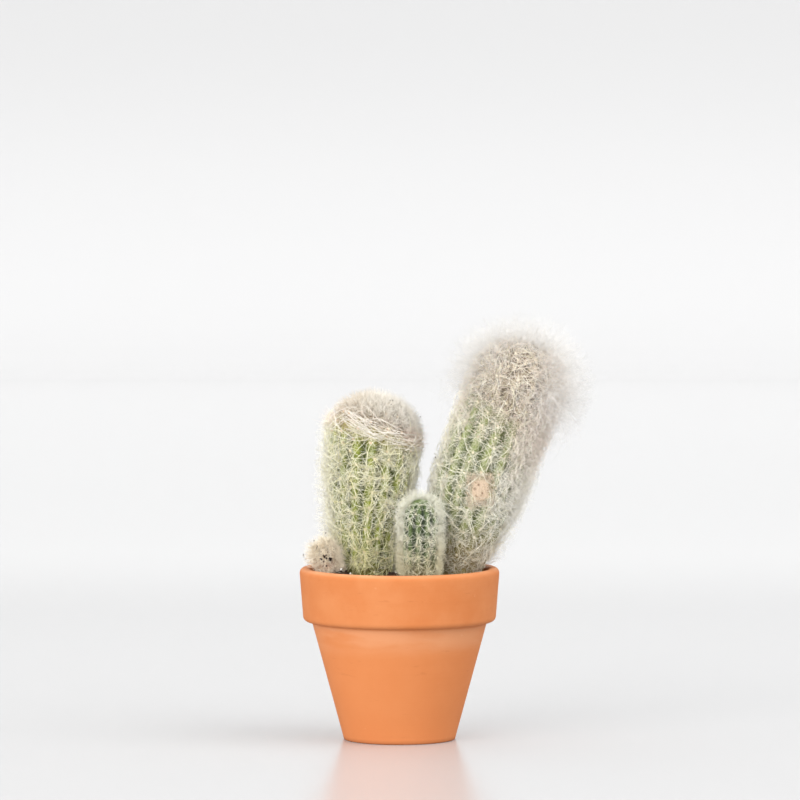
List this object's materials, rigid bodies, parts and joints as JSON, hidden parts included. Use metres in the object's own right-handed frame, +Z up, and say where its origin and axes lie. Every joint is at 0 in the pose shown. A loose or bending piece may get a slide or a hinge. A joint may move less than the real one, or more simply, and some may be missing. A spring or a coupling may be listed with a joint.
{
  "type": "potted old man cactus",
  "caption": "Rimmed clay flower pot of soil with ribbed, woolly columnar cactus stems, one upright, one leaning, a small one in front and a woolly offset.",
  "frame": {"origin": "on the surface it stands on, under the middle of the whole plant's box; the pot's axis is 18.75 mm from it towards -X", "axes": "+Z up along the pot's axis; +X the way the tall stem leans; -Y the front, where the small stem stands"},
  "size_m": [0.1175, 0.08, 0.1715],
  "materials": {
    "terracotta": "unglazed fired clay, matt, with a faint pale bloom",
    "potting_soil": "loose dark peat crumbs",
    "stem_green": "green ribbed skin under thin white wool",
    "stem_grey_green": "grey green ribbed skin under dense white wool",
    "stem_dark_green": "dark green ribbed skin under white wool",
    "offset_wool": "small stem all but hidden by cream wool"
  },
  "bodies": {
    "root": {"pot": "terracotta", "soil": "potting_soil", "stem_left": "stem_green", "stem_right": "stem_grey_green", "stem_middle": "stem_dark_green", "offset_left": "offset_wool"}
  },
  "joints": []
}
